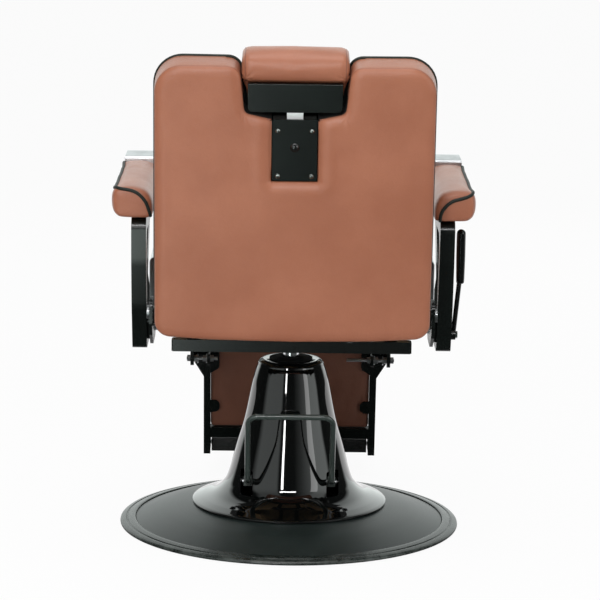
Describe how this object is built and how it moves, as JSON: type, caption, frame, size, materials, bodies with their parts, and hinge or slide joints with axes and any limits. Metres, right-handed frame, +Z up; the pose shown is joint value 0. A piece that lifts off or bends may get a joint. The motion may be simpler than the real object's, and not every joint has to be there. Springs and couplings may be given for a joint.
{
  "type": "hydraulic barber chair",
  "caption": "Barber chair on a round base with a foot-pumped lift, swivel seat, reclining back linked to a rising leg rest, folding footrest, open arms and sliding headrest.",
  "frame": {"origin": "on the floor, on the axis of the column", "axes": "+Z up along the column, +Y towards the back of the chair, +X towards the arm without the recline lever"},
  "size_m": [0.6842, 0.9604, 0.9791],
  "materials": {
    "rubber_black": "matt moulded rubber",
    "base_black": "satin black paint, lightly scuffed at the rim",
    "cover_gloss": "high gloss black enamel",
    "pump_black": "dull black paint on castings",
    "bar_black": "gloss black paint",
    "frame_black": "satin black powder coat",
    "steel_plain": "zinc-plated steel",
    "steel_chrome": "hard chrome, ground and polished",
    "alloy_polished": "polished casting",
    "plywood": "birch plywood",
    "upholstery_tan": "tan smooth-grain upholstery with dark piping"
  },
  "bodies": {
    "base": {"floor_ring": "rubber_black", "base_plate": "base_black", "base_dish": "base_black", "rim_ring": "base_black", "column_cover": "cover_gloss", "column_cap": "rubber_black", "pump_cylinder": "pump_black", "pump_gland": "steel_plain", "pump_block": "pump_black", "pump_foot_bolts": "steel_plain"},
    "foot_bar": {"pump_bar": "bar_black", "pump_bar_hubs": "steel_plain", "pump_shaft": "steel_plain", "pump_rocker": "steel_plain"},
    "plunger": {"pump_plunger": "steel_plain"},
    "ram": {"ram": "steel_chrome", "ram_piston": "steel_plain"},
    "seat": {"swivel_socket": "pump_black", "socket_bolts": "steel_plain", "seat_frame": "frame_black", "frame_caps": "rubber_black", "board_spacers": "rubber_black", "seat_board": "plywood", "seat_cushion": "upholstery_tan", "side_plates": "frame_black", "side_trims": "alloy_polished", "back_pivot_pins": "steel_plain", "leg_brackets": "frame_black", "leg_pivot_bolts": "steel_plain", "arm_frame_left": "frame_black", "arm_frame_right": "frame_black", "arm_bars": "frame_black", "arm_bolts": "steel_plain", "arm_pad_left": "upholstery_tan", "arm_pad_right": "upholstery_tan", "arm_caps": "alloy_polished", "lever_bolt": "steel_plain", "strut_cylinder": "pump_black"},
    "backrest": {"back_frame": "frame_black", "back_board": "frame_black", "back_cushion": "upholstery_tan", "rear_panel": "upholstery_tan", "headrest_guide": "frame_black", "guide_cover": "frame_black", "guide_cover_screws": "steel_plain", "headrest_screw": "bar_black"},
    "headrest": {"headrest_post": "steel_chrome", "headrest_plate": "frame_black", "headrest_cushion": "upholstery_tan"},
    "leg_rest": {"leg_rest_frame": "frame_black", "leg_rest_board": "upholstery_tan", "leg_rest_pad": "upholstery_tan", "leg_frame_bolts": "steel_plain", "footrest_pins": "steel_plain"},
    "footrest": {"footrest": "frame_black", "footrest_tread": "rubber_black"},
    "leg_link": {"link_rods": "steel_plain"},
    "strut_rod": {"strut_rod": "steel_chrome"},
    "recline_lever": {"recline_lever": "bar_black", "lever_grip": "bar_black"}
  },
  "joints": [
    {"name": "foot_pump", "type": "hinge", "parent": "base", "child": "foot_bar", "pos_m": [0, 0.054, 0.095], "axis": [-1, 0, 0], "range_deg": [0, 20], "stiffness_Nm_per_rad": 15, "springref_deg": -14.32},
    {"name": "plunger_stroke", "type": "slide", "parent": "base", "child": "plunger", "axis": [0, 0, -1], "range_m": [0, 0.008]},
    {"name": "lift", "type": "slide", "parent": "base", "child": "ram", "axis": [0, 0, 1], "range_m": [0, 0.15]},
    {"name": "swivel", "type": "hinge", "parent": "ram", "child": "seat", "pos_m": [0, 0, 0.37], "axis": [0, 0, 1], "continuous": true},
    {"name": "recline", "type": "hinge", "parent": "seat", "child": "backrest", "pos_m": [0, 0.205, 0.46], "axis": [-1, 0, 0], "range_deg": [0, 50]},
    {"name": "leg_lift", "type": "hinge", "parent": "seat", "child": "leg_rest", "pos_m": [0, -0.262, 0.372], "axis": [-1, 0, 0], "range_deg": [0, 70]},
    {"name": "link_swing", "type": "hinge", "parent": "backrest", "child": "leg_link", "pos_m": [0, 0.227, 0.4242], "axis": [-1, 0, 0], "range_deg": [-50, 0]},
    {"name": "strut_slide", "type": "slide", "parent": "seat", "child": "strut_rod", "axis": [0, 0.9981, 0.0616], "range_m": [-0.0356, 0]},
    {"name": "foot_fold", "type": "hinge", "parent": "leg_rest", "child": "footrest", "pos_m": [0, -0.40175, 0.06777], "axis": [-1, 0, 0], "range_deg": [0, 85]},
    {"name": "headrest_slide", "type": "slide", "parent": "backrest", "child": "headrest", "axis": [0, 0.1478, 0.989], "range_m": [0, 0.08]},
    {"name": "recline_release", "type": "hinge", "parent": "seat", "child": "recline_lever", "pos_m": [0, 0.15, 0.413], "axis": [1, 0, 0], "range_deg": [0, 20], "stiffness_Nm_per_rad": 6, "springref_deg": -20.05}
  ],
  "couplings": [
    {"joint": "plunger_stroke", "follows": "foot_pump", "m_per_rad": 0.02289},
    {"joint": "leg_lift", "follows": "recline", "ratio": 1.4},
    {"joint": "link_swing", "follows": "recline", "ratio": -1},
    {"joint": "strut_slide", "follows": "recline", "m_per_rad": -0.04068}
  ]
}
